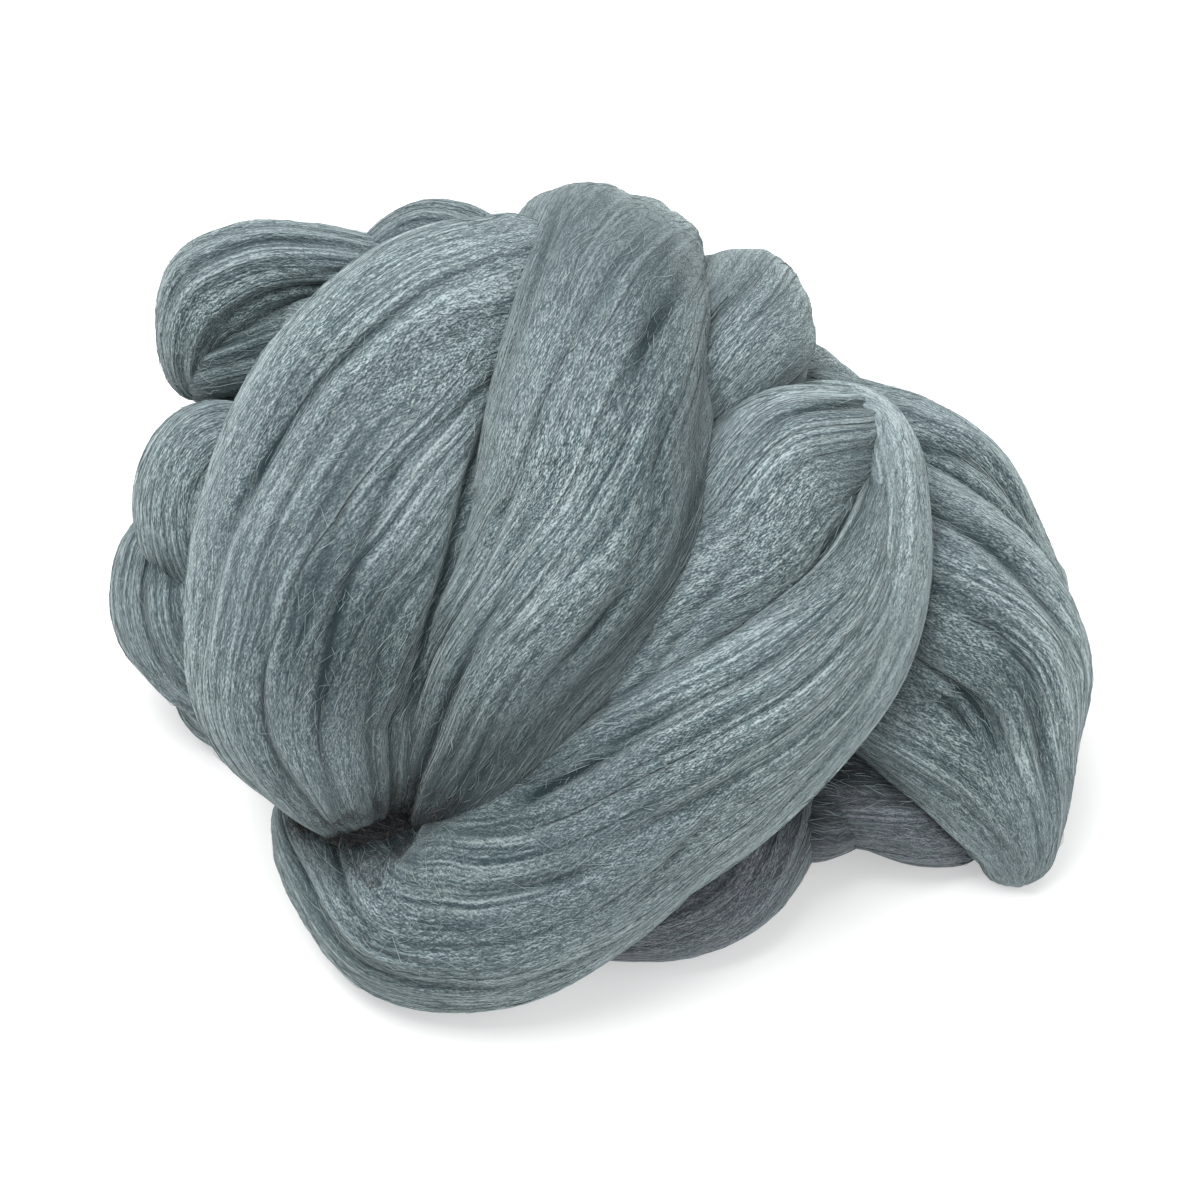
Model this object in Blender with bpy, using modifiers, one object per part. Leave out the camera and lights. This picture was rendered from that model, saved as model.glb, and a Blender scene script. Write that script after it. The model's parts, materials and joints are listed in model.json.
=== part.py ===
"""A loose bundle of wool roving: one long, thick, untwisted sliver of combed wool, folded over itself.

The sliver spreads flat where it is free, so each fold of it reads as a broad band with rounded edges.
Every band is lofted along its own route, and all the bands and the packed middle are fused into one
closed solid, because the roving is one piece. The solid is cut flat where it lies on the surface.

The tables are in millimetres, and the model is in metres. +Z is up, and the origin is on the surface
that the bundle lies on, under the middle of the bundle. The front is at -Y.
"""

import math
from collections import namedtuple

import bmesh
import bpy
import numpy as np

MM = 0.001

# The folds are laid out on a plane that leans back, as a person looks down on the bundle.
# "across" runs to the right on it, "rise" runs up it, and "proud" stands out of it.
LEAN_DEG = 50.0
PLANE_ORIGIN_MM = (1.0, -3.0, 50.0)

# The packed wool under the folds: eggs that run into each other, each with its centre and its half
# sizes along X, Y and Z.
PACKED_WOOL = {
    "upper": ((-2.0, 8.0, 54.0), (76.0, 58.0, 38.0)),
    "lower": ((-2.0, 0.0, 24.5), (88.0, 72.0, 26.0)),
    "left": ((-48.0, 22.0, 50.0), (42.0, 44.0, 40.0)),
    "right": ((52.0, 14.0, 36.0), (42.0, 44.0, 30.0)),
    "back": ((0.0, 50.0, 42.0), (64.0, 34.0, 38.0)),
    "back_left": ((-46.0, 56.0, 46.0), (34.0, 28.0, 34.0)),
}

# How finely the bands and the packed wool are drawn. A fullness of 2 is an ellipse, and more is squarer.
SECTION_STEP_MM = 3.0
SECTION_SIDES = 40
SECTION_FULLNESS = 2.15
PACKED_SIDES = 48
PACKED_RINGS = 32

# Fusing the bands: the size of the voxels, then rounds of smoothing, then the share of faces kept.
FUSE_STEP_MM = 2.2
SOFTEN_ROUNDS = 3
THIN_SHARE = 0.13

# Moves the whole bundle, so that the middle of its box is over the origin.
BOX_SHIFT_MM = (1.24, -4.52)
SURFACE_SLAB_MM = (400.0, 400.0, 60.0)

WOOL_COLOUR = (0.195, 0.240, 0.252, 1.0)
WOOL_ROUGHNESS = 0.95

Section = namedtuple("Section", "across rise proud width thick")
Upright = namedtuple("Upright", "x y z width thick")
Trough = namedtuple("Trough", "from_deg to_deg start end depth breadth_deg")

# Each band of the sliver: its sections in order, in millimetres. The width lies across the fibres, and
# the thickness stands out of the bundle. A trough is a gap between two locks of the band: it runs from
# one angle of the section to another (90 faces out, 0 and 180 are the band's edges), between two
# shares of the band's length.
BANDS = {
    "left_front": (
        [
            Section(-8, 76, 12, 28, 22),
            Section(-20, 69, 22, 38, 28),
            Section(-35, 60, 29, 48, 34),
            Section(-48, 41, 34, 60, 40),
            Section(-57, 14, 35, 65, 46),
            Section(-61, -4, 34, 62, 46),
            Section(-62, -21, 30, 56, 42),
            Section(-59, -36, 23, 42, 34),
            Section(-55, -47, 13, 26, 22),
            Section(-52, -55, 0, 14, 14),
        ],
        [
            Trough(66, 68, 0.12, 0.90, 2.6, 9),
            Trough(98, 95, 0.10, 0.80, 2.2, 8),
            Trough(128, 122, 0.22, 0.90, 2.6, 9),
        ],
    ),
    "crown": (
        [
            Section(-38, -56, -4, 12, 12),
            Section(-36, -50, 8, 16, 16),
            Section(-32, -42, 19, 22, 22),
            Section(-25, -29, 29, 33, 30),
            Section(-18, -14, 35, 43, 38),
            Section(-10, 0, 38, 49, 44),
            Section(-3, 15, 39, 53, 46),
            Section(1, 38, 38, 54, 46),
            Section(3, 60, 28, 50, 42),
            Section(5, 75, 9, 48, 36),
            Section(4, 79, -16, 50, 34),
            Section(-2, 68, -42, 52, 34),
            Section(-12, 49, -62, 48, 32),
            Section(-24, 30, -74, 36, 26),
        ],
        [
            Trough(66, 74, 0.08, 0.55, 2.6, 9),
            Trough(112, 104, 0.12, 0.62, 2.6, 9),
            Trough(84, 96, 0.60, 0.98, 2.4, 9),
        ],
    ),
    "crown_tuck": (
        [
            Section(-34, 66, -22, 16, 16),
            Section(-26, 77, -18, 20, 18),
            Section(-15, 80, -14, 22, 18),
            Section(-2, 74, -12, 20, 18),
        ],
        [],
    ),
    "shoulder": (
        [
            Section(37, 47, -42, 24, 24),
            Section(36, 59, -22, 30, 28),
            Section(35, 63, -3, 32, 30),
            Section(33, 57, 14, 32, 32),
            Section(27, 46, 24, 26, 28),
            Section(20, 34, 26, 18, 20),
        ],
        [
            Trough(96, 84, 0.30, 0.95, 2.0, 10),
        ],
    ),
    "front_loop_inner": (
        [
            Section(56, 45, 6, 20, 18),
            Section(50, 38, 20, 28, 26),
            Section(41, 28, 30, 33, 32),
            Section(31, 9, 35, 32, 34),
            Section(18, -7, 36, 27, 30),
            Section(5, -22, 33, 20, 24),
            Section(-8, -36, 27, 14, 18),
        ],
        [],
    ),
    "front_loop_rim": (
        [
            Section(58, 48, 0, 12, 14),
            Section(61, 39, 11, 14, 18),
            Section(61, 28, 20, 18, 24),
            Section(58, 15, 26, 25, 32),
            Section(53, 0, 30, 33, 38),
            Section(41, -16, 33, 42, 44),
            Section(31, -27, 33, 46, 46),
            Section(15, -41, 31, 48, 46),
            Section(-7, -57, 25, 47, 44),
            Section(-26, -68, 20, 46, 42),
            Section(-42, -70, 16, 42, 38),
            Section(-53, -62, 10, 36, 34),
            Section(-61, -53, 2, 30, 30),
            Section(-62, -43, -10, 24, 24),
        ],
        [
            Trough(80, 76, 0.22, 0.70, 2.6, 9),
            Trough(112, 108, 0.30, 0.85, 2.4, 8),
            Trough(50, 56, 0.35, 0.90, 2.2, 8),
        ],
    ),
    "right_top": (
        [
            Section(40, 46, -12, 26, 22),
            Section(56, 42, -6, 28, 26),
            Section(69, 35, -4, 29, 28),
            Section(80, 27, -4, 30, 30),
            Section(90, 12, -6, 28, 30),
            Section(94, 0, -10, 24, 28),
            Section(95, -18, -16, 20, 22),
        ],
        [],
    ),
    "right_middle": (
        [
            Section(46, 27, 2, 34, 26),
            Section(63, 15, 6, 40, 32),
            Section(79, 0, 6, 44, 38),
            Section(89, -16, 4, 42, 38),
            Section(94, -34, 1, 34, 34),
            Section(96, -48, -4, 22, 26),
            Section(96, -59, -10, 14, 16),
        ],
        [
            Trough(104, 100, 0.15, 0.90, 2.4, 9),
            Trough(66, 72, 0.25, 0.95, 2.0, 9),
        ],
    ),
    "right_low": (
        [
            Section(43, -2, 0, 34, 26),
            Section(58, -14, 4, 36, 30),
            Section(72, -26, 5, 36, 32),
            Section(83, -37, 3, 32, 30),
            Section(91, -49, -2, 24, 24),
            Section(95, -59, -7, 14, 16),
            Section(96, -64, -11, 10, 10),
        ],
        [],
    ),
    "under_right": (
        [
            Section(34, -38, -8, 24, 22),
            Section(48, -45, -9, 24, 22),
            Section(62, -50, -10, 22, 22),
            Section(76, -53, -12, 18, 18),
            Section(90, -56, -14, 12, 12),
        ],
        [],
    ),
    "under_front": (
        [
            Section(42, -42, 2, 22, 20),
            Section(37, -54, 4, 26, 24),
            Section(29, -63, 7, 28, 26),
            Section(17, -69, 10, 26, 24),
            Section(4, -71, 12, 22, 22),
            Section(-10, -71, 10, 16, 16),
        ],
        [],
    ),
    "under_tuck": (
        [
            Section(38, -44, -6, 16, 14),
            Section(48, -53, -9, 16, 14),
            Section(57, -54, -12, 12, 12),
            Section(66, -52, -12, 10, 10),
        ],
        [],
    ),
    "back_left_loop": (
        [
            Section(-30, 68, -32, 24, 24),
            Section(-46, 72, -26, 30, 30),
            Section(-64, 75, -22, 32, 34),
            Section(-80, 74, -21, 32, 34),
            Section(-90, 67, -25, 30, 32),
            Section(-90, 58, -32, 28, 30),
            Section(-80, 53, -38, 26, 28),
            Section(-62, 51, -38, 24, 24),
        ],
        [],
    ),
    "back_arch": (
        [
            Section(-57, 70, -46, 16, 16),
            Section(-53, 80, -44, 18, 18),
            Section(-42, 86, -42, 20, 18),
            Section(-31, 83, -40, 20, 18),
            Section(-24, 72, -42, 18, 18),
        ],
        [],
    ),
    "left_upper": (
        [
            Section(-78, 35, -22, 26, 26),
            Section(-92, 32, -16, 28, 30),
            Section(-96, 22, -15, 27, 30),
            Section(-93, 11, -18, 26, 28),
            Section(-80, 5, -24, 24, 24),
        ],
        [],
    ),
    "left_middle": (
        [
            Section(-80, 8, -28, 24, 24),
            Section(-96, 7, -22, 26, 28),
            Section(-102, -2, -20, 26, 30),
            Section(-97, -13, -24, 26, 28),
            Section(-82, -22, -28, 22, 22),
        ],
        [],
    ),
    "left_low": (
        [
            Section(-78, -12, -36, 22, 24),
            Section(-90, -15, -33, 22, 26),
            Section(-90, -23, -31, 22, 26),
            Section(-82, -30, -27, 22, 24),
            Section(-68, -38, -16, 22, 22),
        ],
        [],
    ),
    "back_left_fold": (
        [
            Upright(-34, 40, 88, 30, 24),
            Upright(-50, 58, 78, 44, 30),
            Upright(-62, 68, 58, 52, 34),
            Upright(-64, 70, 38, 50, 34),
            Upright(-52, 70, 20, 42, 30),
            Upright(-34, 64, 8, 30, 22),
        ],
        [
            Trough(74, 82, 0.12, 0.90, 2.8, 9),
            Trough(110, 104, 0.18, 0.90, 2.6, 9),
        ],
    ),
    "back_right_fold": (
        [
            Upright(22, 28, 80, 34, 26),
            Upright(35, 48, 67, 42, 30),
            Upright(48, 61, 49, 50, 34),
            Upright(58, 66, 34, 52, 34),
            Upright(60, 60, 16, 44, 30),
            Upright(54, 48, 6, 30, 20),
        ],
        [
            Trough(70, 78, 0.12, 0.90, 2.6, 9),
            Trough(108, 100, 0.18, 0.90, 2.8, 9),
        ],
    ),
    "right_back_loop": (
        [
            Upright(54, 6, 60, 32, 30),
            Upright(80, 18, 52, 42, 34),
            Upright(91, 34, 36, 44, 34),
            Upright(84, 50, 22, 36, 30),
            Upright(66, 54, 12, 26, 22),
        ],
        [
            Trough(92, 88, 0.15, 0.85, 2.4, 10),
        ],
    ),
    "back_wrap": (
        [
            Upright(-90, 2, 10, 22, 22),
            Upright(-92, 30, 14, 30, 28),
            Upright(-72, 62, 20, 38, 30),
            Upright(-36, 82, 27, 44, 30),
            Upright(2, 86, 30, 46, 30),
            Upright(38, 80, 26, 44, 30),
            Upright(70, 62, 18, 38, 30),
            Upright(90, 34, 13, 30, 28),
            Upright(92, 6, 10, 22, 22),
        ],
        [
            Trough(74, 84, 0.10, 0.92, 2.8, 9),
            Trough(108, 100, 0.14, 0.88, 2.4, 9),
        ],
    ),
    "back_foot": (
        [
            Upright(-66, 58, 9, 20, 18),
            Upright(-34, 76, 10, 24, 20),
            Upright(2, 80, 10, 26, 20),
            Upright(36, 74, 10, 24, 20),
            Upright(64, 58, 9, 20, 18),
        ],
        [],
    ),
}


def on_plane(across, rise, proud):
    """A place on the leaning plane, in the upright frame, in millimetres."""
    lean = math.radians(LEAN_DEG)
    x = across
    y = rise * math.sin(lean) - proud * math.cos(lean)
    z = rise * math.cos(lean) + proud * math.sin(lean)
    return np.stack([x, y, z], axis=-1) + np.array(PLANE_ORIGIN_MM)


def smooth_run(rows):
    """The rows read at even steps along a smooth curve through them, and each step's distance along."""
    table = np.array(rows, float)
    chords = np.linalg.norm(np.diff(table[:, :3], axis=0), axis=1)
    knots = np.concatenate([[0.0], np.cumsum(chords)])
    slopes = np.gradient(table, knots, axis=0)
    steps = int(math.ceil(knots[-1] / SECTION_STEP_MM))
    along = np.linspace(0.0, knots[-1], steps + 1)
    left = np.clip(np.searchsorted(knots, along, side="right") - 1, 0, len(knots) - 2)
    gap = (knots[left + 1] - knots[left])[:, None]
    t = ((along - knots[left])[:, None]) / gap
    run = (
        (2 * t**3 - 3 * t**2 + 1) * table[left]
        + (t**3 - 2 * t**2 + t) * gap * slopes[left]
        + (3 * t**2 - 2 * t**3) * table[left + 1]
        + (t**3 - t**2) * gap * slopes[left + 1]
    )
    return run, along


def carried_frames(centres, first_facing):
    """For each centre: the way across the band and the way that it faces, carried on without twist."""
    tangents = np.gradient(centres, axis=0)
    tangents /= np.linalg.norm(tangents, axis=1)[:, None]
    facing = np.zeros_like(centres)
    last = np.array(first_facing, float)
    for i, tangent in enumerate(tangents):
        last = last - last.dot(tangent) * tangent
        last /= np.linalg.norm(last)
        facing[i] = last
    return np.cross(tangents, facing), facing


def trough_depth(troughs, angle_deg, share):
    """How far a point of a section is sunk by the band's troughs, in millimetres."""
    sunk = 0.0
    for trough in troughs:
        inside = (share - trough.start) / (trough.end - trough.start)
        if not 0.0 < inside < 1.0:
            continue
        centre = trough.from_deg + (trough.to_deg - trough.from_deg) * inside
        off = (angle_deg - centre) / trough.breadth_deg
        sunk += trough.depth * math.sin(math.pi * inside) ** 0.5 * math.exp(-off * off)
    return sunk


def add_band(mesh, sections, troughs):
    """Adds one band to the mesh: a UV sphere whose rings are carried along the band's sections."""
    run, along = smooth_run(sections)
    if isinstance(sections[0], Section):
        centres = on_plane(run[:, 0], run[:, 1], run[:, 2])
        lean = math.radians(LEAN_DEG)
        first_facing = (0.0, -math.cos(lean), math.sin(lean))
    else:
        centres = run[:, :3]
        first_facing = centres[0] - np.array(PACKED_WOOL["lower"][0])
    across, facing = carried_frames(centres, first_facing)
    length = along[-1]
    rings = len(along) - 1
    made = bmesh.ops.create_uvsphere(mesh, u_segments=SECTION_SIDES, v_segments=rings, radius=1.0)
    for vert in made["verts"]:
        polar = math.acos(max(-1.0, min(1.0, vert.co.z)))
        i = int(round(polar / math.pi * rings))
        angle = math.atan2(vert.co.y, vert.co.x)
        width, thick = run[i, 3], run[i, 4]
        end_round = min(1.0, 2.0 * min(along[i], length - along[i]) / max(min(width, thick), 1.0))
        size = math.sqrt(max(0.0, 1.0 - (1.0 - end_round) ** 2))
        cos, sin = math.cos(angle), math.sin(angle)
        power = 2.0 / SECTION_FULLNESS
        sunk = trough_depth(troughs, math.degrees(angle) % 360.0, along[i] / length)
        u = math.copysign(abs(cos) ** power, cos) * (width / 2 - sunk) * size
        v = math.copysign(abs(sin) ** power, sin) * (thick / 2 - sunk) * size
        vert.co = (centres[i] + across[i] * u + facing[i] * v) * MM


def add_middle(mesh):
    """Adds the packed wool that the folds lie on."""
    for centre, half in PACKED_WOOL.values():
        made = bmesh.ops.create_uvsphere(
            mesh, u_segments=PACKED_SIDES, v_segments=PACKED_RINGS, radius=1.0
        )
        for vert in made["verts"]:
            vert.co = (np.array(vert.co) * np.array(half) + np.array(centre)) * MM


def wool_material():
    material = bpy.data.materials.new("combed_wool")
    material.use_nodes = True
    shader = material.node_tree.nodes["Principled BSDF"]
    shader.inputs["Base Color"].default_value = WOOL_COLOUR
    shader.inputs["Roughness"].default_value = WOOL_ROUGHNESS
    shader.inputs["Metallic"].default_value = 0.0
    return material


def clear_scene():
    for obj in list(bpy.data.objects):
        bpy.data.objects.remove(obj)


def add_collection(name):
    collection = bpy.data.collections.new(name)
    bpy.context.scene.collection.children.link(collection)
    return collection


def add_surface_cutter(collection):
    """A slab whose top is the surface that the bundle lies on."""
    size = np.array(SURFACE_SLAB_MM) * MM
    mesh = bpy.data.meshes.new("surface_cutter")
    slab = bmesh.new()
    bmesh.ops.create_cube(slab, size=1.0)
    for vert in slab.verts:
        vert.co = (vert.co.x * size[0], vert.co.y * size[1], (vert.co.z - 0.5) * size[2])
    slab.to_mesh(mesh)
    slab.free()
    cutter = bpy.data.objects.new("surface_cutter", mesh)
    cutter.hide_render = True
    cutter.display_type = "WIRE"
    collection.objects.link(cutter)
    return cutter


def add_roving(collection, cutter):
    """The whole roving: its bands and its middle, fused, thinned and cut flat underneath."""
    shell = bmesh.new()
    add_middle(shell)
    for sections, troughs in BANDS.values():
        add_band(shell, sections, troughs)
    bmesh.ops.recalc_face_normals(shell, faces=shell.faces)
    mesh = bpy.data.meshes.new("wool_roving")
    shell.to_mesh(mesh)
    shell.free()
    mesh.materials.append(wool_material())
    roving = bpy.data.objects.new("wool_roving", mesh)
    roving.location = (BOX_SHIFT_MM[0] * MM, BOX_SHIFT_MM[1] * MM, 0.0)
    collection.objects.link(roving)

    fuse = roving.modifiers.new("fuse", "REMESH")
    fuse.mode = "VOXEL"
    fuse.voxel_size = FUSE_STEP_MM * MM
    fuse.use_smooth_shade = True
    soften = roving.modifiers.new("soften", "SMOOTH")
    soften.factor = 0.5
    soften.iterations = SOFTEN_ROUNDS
    thin = roving.modifiers.new("thin", "DECIMATE")
    thin.ratio = THIN_SHARE
    flatten = roving.modifiers.new("flatten", "BOOLEAN")
    flatten.operation = "DIFFERENCE"
    flatten.object = cutter
    return roving


def main():
    clear_scene()
    cutters = add_collection("cutters")
    parts = add_collection("wool_roving")
    add_roving(parts, add_surface_cutter(cutters))


main()
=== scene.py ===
"""The looks of a loose bundle of wool roving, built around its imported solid.

Every fold of the sliver is a closed, grooved mesh that keeps to the solid's form, and single fibres lie
on the folds and stand a little off them. Tables are in millimetres, and the scene is in metres.
"""

import json
import math
from collections import namedtuple

import bpy
import numpy as np
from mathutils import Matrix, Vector
from mathutils.bvhtree import BVHTree

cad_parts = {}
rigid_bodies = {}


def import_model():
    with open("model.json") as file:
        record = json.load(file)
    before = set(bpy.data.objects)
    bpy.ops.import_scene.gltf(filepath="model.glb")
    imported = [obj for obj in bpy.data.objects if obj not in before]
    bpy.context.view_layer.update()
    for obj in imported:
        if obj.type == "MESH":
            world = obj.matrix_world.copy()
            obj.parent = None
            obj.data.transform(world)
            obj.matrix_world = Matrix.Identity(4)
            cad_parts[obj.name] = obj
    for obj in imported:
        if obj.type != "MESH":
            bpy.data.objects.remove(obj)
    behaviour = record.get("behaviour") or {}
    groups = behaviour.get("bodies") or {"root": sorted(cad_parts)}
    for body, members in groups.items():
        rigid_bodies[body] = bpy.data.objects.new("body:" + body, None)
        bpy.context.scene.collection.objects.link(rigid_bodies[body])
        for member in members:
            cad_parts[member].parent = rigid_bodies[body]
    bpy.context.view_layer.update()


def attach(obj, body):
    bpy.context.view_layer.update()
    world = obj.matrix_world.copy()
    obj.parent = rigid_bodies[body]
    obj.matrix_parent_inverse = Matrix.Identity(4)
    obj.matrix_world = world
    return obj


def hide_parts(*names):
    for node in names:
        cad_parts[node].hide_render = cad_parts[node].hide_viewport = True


for old in list(bpy.data.objects):
    bpy.data.objects.remove(old)

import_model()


# ----------------------------------------
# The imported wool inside. It is the same combed merino as the folds, pressed together in ridged turns
# where the sliver turns back on itself, and it shows in the shade between the folds.

MM = 0.001

# The folds are laid out on a plane that leans back, as a person looks down on the bundle.
LEAN = math.radians(50.0)
PLANE_ORIGIN = np.array((1.0, -3.0, 50.0))
BOX_SHIFT = np.array((1.24, -4.52, 0.0))

PACKED_WOOL = {
    "upper": ((-2.0, 8.0, 54.0), (76.0, 58.0, 38.0)),
    "lower": ((-2.0, 2.0, 24.5), (88.0, 66.0, 26.0)),
    "left": ((-48.0, 22.0, 50.0), (42.0, 44.0, 40.0)),
    "right": ((52.0, 14.0, 36.0), (42.0, 44.0, 30.0)),
    "back": ((0.0, 50.0, 42.0), (64.0, 34.0, 38.0)),
    "back_left": ((-46.0, 56.0, 46.0), (34.0, 28.0, 34.0)),
}
PACKED_VOXEL = 3.0 * MM
PACKED_LAY = math.radians(-47.0)   # which way its turns are laid, seen from the left
PACKED_TURN = 21.0 * MM            # the breadth of a turn
PACKED_CREASE = 3.0 * MM           # how deep the creases between its turns are
PACKED_BEND = (0.5, 25 * MM)       # how far its turns bend to and fro, and over what length
PACKED_STRAND = (9.0 * MM, 0.8 * MM)   # how long and how broad its clumps of fibres are
INSIDE_THE_FOLDS = 6.0             # how much smaller it is than in the solid, so that folds cover it
WOOL_BUMP = 0.8                    # the depth of its finest relief, in millimetres


def linear(hex_colour):
    """An sRGB hex colour as a linear RGBA tuple."""
    parts = [int(hex_colour[i:i + 2], 16) / 255.0 for i in (1, 3, 5)]
    bent = [p / 12.92 if p <= 0.04045 else ((p + 0.055) / 1.055) ** 2.4 for p in parts]
    return (*bent, 1.0)


def node(material, kind, feeds=(), **settings):
    """Adds a node. Settings are its properties or, by socket name with _ for a space, its inputs. Feeds
    are what goes into a socket: a value, an output, or a node, for its first output."""
    made = material.node_tree.nodes.new(kind)
    for name, value in settings.items():
        if name in made.bl_rna.properties:
            setattr(made, name, value)
        else:
            made.inputs[name.replace("_", " ")].default_value = value
    for source, socket in feeds:
        if isinstance(source, bpy.types.Node):
            source = source.outputs[0]
        if isinstance(source, bpy.types.NodeSocket):
            material.node_tree.links.new(source, made.inputs[socket])
        else:
            made.inputs[socket].default_value = source
    return made


def clear_material(name):
    material = bpy.data.materials.new(name)
    material.use_nodes = True
    material.node_tree.nodes.clear()
    return material


def finish_wool(material, colour, height=None, bump_strength=0.0, sheen=0.6):
    """Ends a wool material. Wool scatters light at every fibre: it is matt, with a pale sheen at the rim."""
    shader = node(material, "ShaderNodeBsdfPrincipled", [(colour, "Base Color")],
                  Roughness=0.78, IOR=1.45, Specular_IOR_Level=0.18,
                  Sheen_Weight=sheen, Sheen_Roughness=0.5, Sheen_Tint=linear("#c9d6d8"))
    if height is not None:
        bump = node(material, "ShaderNodeBump", [(height, "Height")],
                    Strength=bump_strength, Distance=WOOL_BUMP * MM)
        material.node_tree.links.new(bump.outputs["Normal"], shader.inputs["Normal"])
    node(material, "ShaderNodeOutputMaterial", [(shader, "Surface")])
    return material


def packed_wool_material():
    """Turns of the same merino, pressed together, and dark, as little light reaches them."""
    material = clear_material("packed_merino")
    place = node(material, "ShaderNodeTexCoord")
    long, broad = PACKED_STRAND
    turned = node(material, "ShaderNodeMapping", [(place.outputs["Object"], "Vector")],
                  Rotation=(-PACKED_LAY, 0.0, 0.0))
    stretched = node(material, "ShaderNodeMapping", [(turned, "Vector")],
                     Scale=(1 / long, 1 / broad, 1 / long))
    strands = node(material, "ShaderNodeTexNoise", [(stretched, "Vector")], Scale=1.0, Detail=4.0)
    colour = node(material, "ShaderNodeValToRGB", [(strands, "Fac")])
    colour.color_ramp.elements[0].position = 0.35
    colour.color_ramp.elements[0].color = linear("#1f2a2d")
    colour.color_ramp.elements[1].position = 0.65
    colour.color_ramp.elements[1].color = linear("#566468")
    return finish_wool(material, colour, strands, bump_strength=0.8)


def deselect():
    for chosen in list(bpy.context.selected_objects):
        chosen.select_set(False)


def belongs(piece):
    """The piece stands for the one solid and rides with it, and the solid is hidden."""
    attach(piece, "root")
    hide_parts("wool_roving")


def add_packed_wool():
    deselect()
    for centre, half in PACKED_WOOL.values():
        bpy.ops.mesh.primitive_uv_sphere_add(segments=48, ring_count=32, radius=1.0)
        egg = bpy.context.object
        egg.scale = (np.array(half) - INSIDE_THE_FOLDS) * MM
        egg.location = (np.array(centre) + BOX_SHIFT) * MM
    for made in bpy.data.objects:
        made.select_set(made.name.startswith("Sphere"))
    bpy.ops.object.join()
    packed = bpy.context.object
    packed.name = "packed_wool"
    bpy.ops.object.transform_apply(location=True, rotation=True, scale=True)
    fuse = packed.modifiers.new("fuse", "REMESH")
    fuse.mode = "VOXEL"
    fuse.voxel_size = PACKED_VOXEL
    bpy.ops.object.modifier_apply(modifier="fuse")
    for vertex in packed.data.vertices:
        over = vertex.co.y * math.cos(PACKED_LAY) + vertex.co.z * math.sin(PACKED_LAY)
        bend = PACKED_BEND[0] * math.sin(vertex.co.x / PACKED_BEND[1])
        ridge = abs(math.sin(math.pi * over / PACKED_TURN + bend))
        vertex.co -= vertex.normal * PACKED_CREASE * (1 - ridge)
        vertex.co.z = max(vertex.co.z, 0.0)
    packed.data.shade_smooth()
    packed.data.materials.clear()
    packed.data.materials.append(packed_wool_material())
    belongs(packed)


add_packed_wool()


# ----------------------------------------
# The big left fold. The sliver comes out from under the crown, swings over to the left in a broad,
# round fall of locks, and is drawn in to a pinch at the lower left. It is a sliver of combed merino,
# drawn parallel but not twisted, so it parts into locks with gaps between them, darkened with painted shade.

# A fold's sections are rows of (across, rise, proud, width, thick) on the leaning plane, or of
# (x, y, z, width, thick) where it is upright.
# A trough dents a fold by its depth and gets painted shade with it. A hollow dents it by its depth and gets
# painted shade by its shade, and a shade below 0 is painted light.
Trough = namedtuple("Trough", "from_deg to_deg start end depth breadth_deg")
Hollow = namedtuple("Hollow", "deg share wide_deg long depth shade")
Lay = namedtuple("Lay", "twist_deg turn_deg still_deg start end", defaults=(0, 0, 180, -0.2, 1.2))

FULLNESS = 2.15            # 2 is an ellipse, and more is squarer
CENTRE_STEP = 1.0          # the spacing of the places that a fold's centreline is read at
GAP_AREA = 420.0           # the surface that goes with each gap between locks, in square millimetres
GAP_LENGTH = (20.0, 75.0)
GAP_BREADTH = (0.7, 1.3)
GAP_DEPTH = (0.2, 0.9)
GAP_SHADE = (0.12, 0.55)   # the painted shade in the shallowest and the deepest gap
GAP_RARITY = 1.6           # above 1, so that deep gaps are rarer than shallow ones
GAP_SLANT = 7.0            # how far a gap strays across the strands, in degrees
TROUGH_SHADE = 0.27        # painted shade for each millimetre of a trough's depth
LOCK_WAVES = 8
LOCK_SWELL = 1.1           # in millimetres, for a wave that goes once round the fold
LOCKS_ROUND = (5, 20)      # how many locks such a wave makes round the fold
LOCK_BENDS = (1, 3)        # how often they bend along it, and how far
LOCK_BEND = (0.3, 0.9)
FULL_TURN = 6.28
UNDERSIDE_THRIFT = 0.45    # how much wider the faces are under a fold than on its outside

folds = {}
ring_turns = {}


def on_plane(across, rise, proud):
    """A place on the leaning plane, in the upright frame, in millimetres."""
    y = rise * math.sin(LEAN) - proud * math.cos(LEAN)
    z = rise * math.cos(LEAN) + proud * math.sin(LEAN)
    return np.stack([across, y, z], axis=-1) + PLANE_ORIGIN


def smooth_run(rows, step):
    """The rows read at even steps along a smooth curve through them, and each step's distance along."""
    table = np.array(rows, float)
    chords = np.linalg.norm(np.diff(table[:, :3], axis=0), axis=1)
    knots = np.concatenate([[0.0], np.cumsum(chords)])
    slopes = np.gradient(table, knots, axis=0)
    along = np.linspace(0.0, knots[-1], int(math.ceil(knots[-1] / step)) + 1)
    left = np.clip(np.searchsorted(knots, along, side="right") - 1, 0, len(knots) - 2)
    gap = (knots[left + 1] - knots[left])[:, None]
    t = (along - knots[left])[:, None] / gap
    run = (
        (2 * t**3 - 3 * t**2 + 1) * table[left]
        + (t**3 - 2 * t**2 + t) * gap * slopes[left]
        + (3 * t**2 - 2 * t**3) * table[left + 1]
        + (t**3 - t**2) * gap * slopes[left + 1]
    )
    return run, along


def carried_frames(centres, first_facing):
    """For each centre: the way across the fold and the way that it faces, carried on without twist."""
    tangents = np.gradient(centres, axis=0)
    tangents /= np.linalg.norm(tangents, axis=1)[:, None]
    facing = np.zeros_like(centres)
    last = np.array(first_facing, float)
    for i, tangent in enumerate(tangents):
        last = last - last.dot(tangent) * tangent
        last /= np.linalg.norm(last)
        facing[i] = last
    return np.cross(tangents, facing), facing


def between(low_high, share):
    return low_high[0] + (low_high[1] - low_high[0]) * share


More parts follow.
